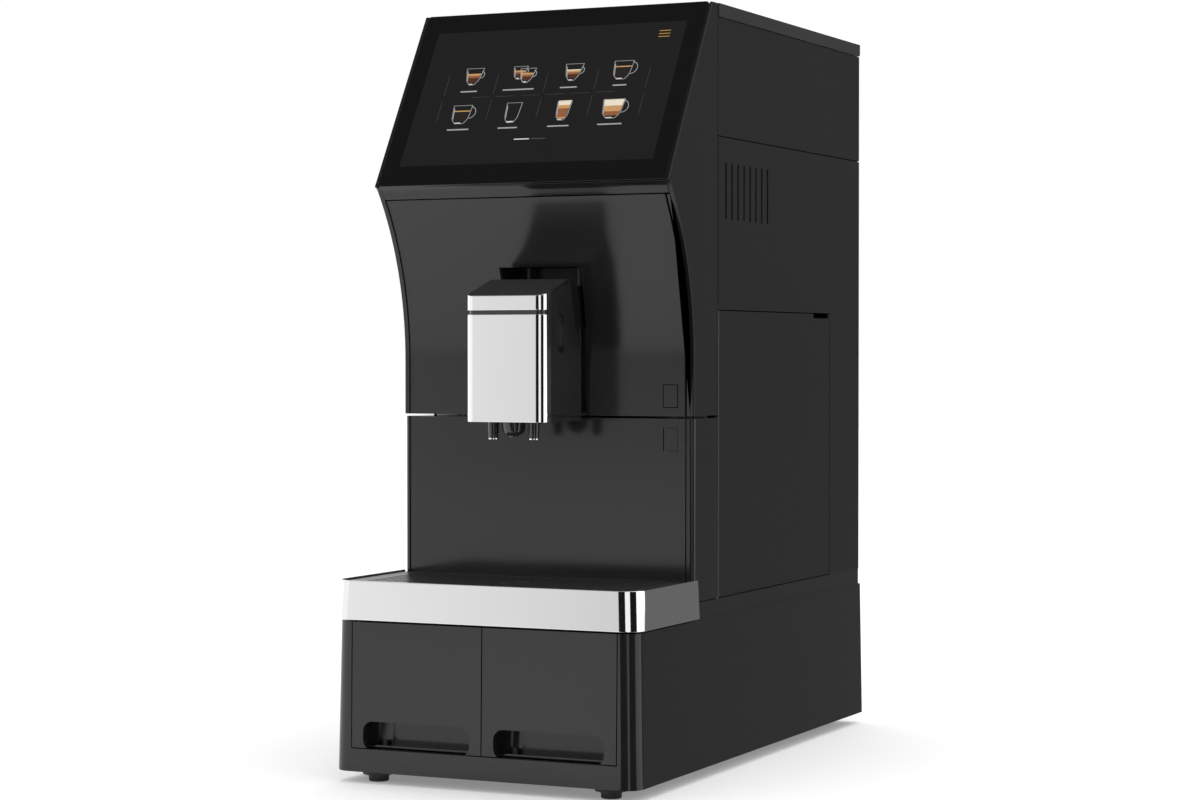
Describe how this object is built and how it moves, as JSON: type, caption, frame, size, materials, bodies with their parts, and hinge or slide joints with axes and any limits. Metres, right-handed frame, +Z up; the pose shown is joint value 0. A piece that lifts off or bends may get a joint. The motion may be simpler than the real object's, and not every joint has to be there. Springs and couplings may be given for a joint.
{
  "type": "countertop coffee machine",
  "caption": "Tall black countertop bean-to-cup coffee machine with a tilted touchscreen door, sliding dispenser head, chrome drip tray band and a two-drawer plinth.",
  "frame": {"origin": "on the counter, under the middle of the machine's outline", "axes": "+Z up, the user stands at -Y, +X to the user's right"},
  "size_m": [0.3514, 0.6672, 0.8133],
  "materials": {
    "satin_black_plastic": "satin",
    "painted_steel": "satin",
    "inner_black_plastic": "matte",
    "gloss_black_plastic": "gloss",
    "polished_chrome": "polished",
    "black_grille_steel": "satin",
    "screen_glass": "polished",
    "display": "gloss",
    "rubber": "matte",
    "red_float_plastic": "satin",
    "zinc_steel": "satin",
    "stainless_steel": "brushed",
    "cast_aluminium": "cast",
    "brass": "machined",
    "clear_plastic": "tinted clear",
    "circuit_board": "satin"
  },
  "bodies": {
    "cabinet": {"plinth_housing": "satin_black_plastic", "drawer_case": "inner_black_plastic", "feet": "inner_black_plastic", "foot_pads": "rubber", "deck_plate": "satin_black_plastic", "door_hinge_leaf": "zinc_steel", "chassis_bulkhead": "zinc_steel", "left_side_panel": "painted_steel", "right_side_panel": "painted_steel", "right_upper_panel": "painted_steel", "back_panel": "painted_steel", "mains_inlet": "inner_black_plastic", "water_inlet_fitting": "brass", "drain_fitting": "brass", "lower_front_panel": "satin_black_plastic", "hinge_pins": "stainless_steel", "equipment_shelf": "zinc_steel", "grinder_body": "cast_aluminium", "grinder_motor": "stainless_steel", "bean_hopper": "clear_plastic", "brew_unit_frame": "inner_black_plastic", "boiler": "stainless_steel", "water_pump": "brass", "power_supply": "zinc_steel", "control_board": "circuit_board", "fan_frame": "inner_black_plastic", "boiler_hose": "rubber", "panel_screws": "zinc_steel"},
    "screen_door": {"door_side_left": "satin_black_plastic", "door_side_right": "satin_black_plastic", "door_front_panel": "satin_black_plastic", "door_inner_frame": "inner_black_plastic", "screen_back_cover": "inner_black_plastic", "screen_frame": "satin_black_plastic", "screen_glass": "screen_glass", "display_panel": "display", "dispenser_channel": "inner_black_plastic", "dispenser_rails": "black_grille_steel"},
    "dispenser": {"dispenser_shell": "gloss_black_plastic", "dispenser_plate": "polished_chrome", "dispenser_band": "polished_chrome", "dispenser_cap": "gloss_black_plastic", "coffee_spouts": "polished_chrome", "water_nozzle": "inner_black_plastic"},
    "latch_button": {"door_latch_button": "satin_black_plastic"},
    "flap": {"port_flap": "satin_black_plastic"},
    "rocker": {"power_rocker": "inner_black_plastic"},
    "fan": {"fan_rotor": "inner_black_plastic"},
    "burr": {"grinder_burr": "stainless_steel"},
    "piston": {"brew_piston": "stainless_steel"},
    "lid": {"top_lid": "painted_steel"},
    "service_door": {"side_door": "painted_steel"},
    "left_drawer": {"left_drawer_front": "satin_black_plastic", "left_drawer_bin": "inner_black_plastic"},
    "right_drawer": {"right_drawer_front": "satin_black_plastic", "right_drawer_bin": "inner_black_plastic"},
    "drip_tray": {"tray_band": "polished_chrome", "tray_basin": "inner_black_plastic"},
    "grille": {"drip_grille": "black_grille_steel"},
    "level_float": {"tray_float": "red_float_plastic"}
  },
  "joints": [
    {"name": "screen_door_hinge", "type": "hinge", "parent": "cabinet", "child": "screen_door", "pos_m": [-0.167, -0.11825, 0.57865], "axis": [0, 0, -1], "range_deg": [0, 100]},
    {"name": "dispenser_height", "type": "slide", "parent": "screen_door", "child": "dispenser", "axis": [0, 0, 1], "range_m": [-0.085, 0.01]},
    {"name": "latch_press", "type": "slide", "parent": "screen_door", "child": "latch_button", "axis": [0, 1, 0], "range_m": [0, 0.0025], "stiffness_N_per_m": 600},
    {"name": "port_flap_hinge", "type": "hinge", "parent": "cabinet", "child": "flap", "pos_m": [0.1366, -0.17775, 0.355], "axis": [0, 0, -1], "range_deg": [0, 85]},
    {"name": "power_switch", "type": "hinge", "parent": "cabinet", "child": "rocker", "pos_m": [-0.012, 0.29445, 0.2525], "axis": [1, 0, 0], "range_deg": [-8, 8]},
    {"name": "fan_spin", "type": "hinge", "parent": "cabinet", "child": "fan", "pos_m": [0.1555, -0.03277, 0.6164], "axis": [1, 0, 0], "continuous": true},
    {"name": "burr_spin", "type": "hinge", "parent": "cabinet", "child": "burr", "pos_m": [0, 0.03575, 0.5587], "axis": [0, 0, 1], "continuous": true},
    {"name": "piston_press", "type": "slide", "parent": "cabinet", "child": "piston", "axis": [0, 0, -1], "range_m": [0, 0.055]},
    {"name": "lid_hinge", "type": "hinge", "parent": "cabinet", "child": "lid", "pos_m": [0, 0.32445, 0.8028], "axis": [-1, 0, 0], "range_deg": [0, 75]},
    {"name": "service_door_hinge", "type": "hinge", "parent": "cabinet", "child": "service_door", "pos_m": [0.167, -0.11105, 0.3355], "axis": [0, 0, -1], "range_deg": [0, 95]},
    {"name": "left_drawer_slide", "type": "slide", "parent": "cabinet", "child": "left_drawer", "axis": [0, -1, 0], "range_m": [0, 0.3]},
    {"name": "right_drawer_slide", "type": "slide", "parent": "cabinet", "child": "right_drawer", "axis": [0, -1, 0], "range_m": [0, 0.3]},
    {"name": "drip_tray_slide", "type": "slide", "parent": "cabinet", "child": "drip_tray", "axis": [0, -1, 0], "range_m": [0, 0.15]},
    {"name": "grille_lift", "type": "slide", "parent": "drip_tray", "child": "grille", "axis": [0, 0, 1], "range_m": [0, 0.05]},
    {"name": "float_rise", "type": "slide", "parent": "drip_tray", "child": "level_float", "axis": [0, 0, 1], "range_m": [0, 0.006]}
  ]
}
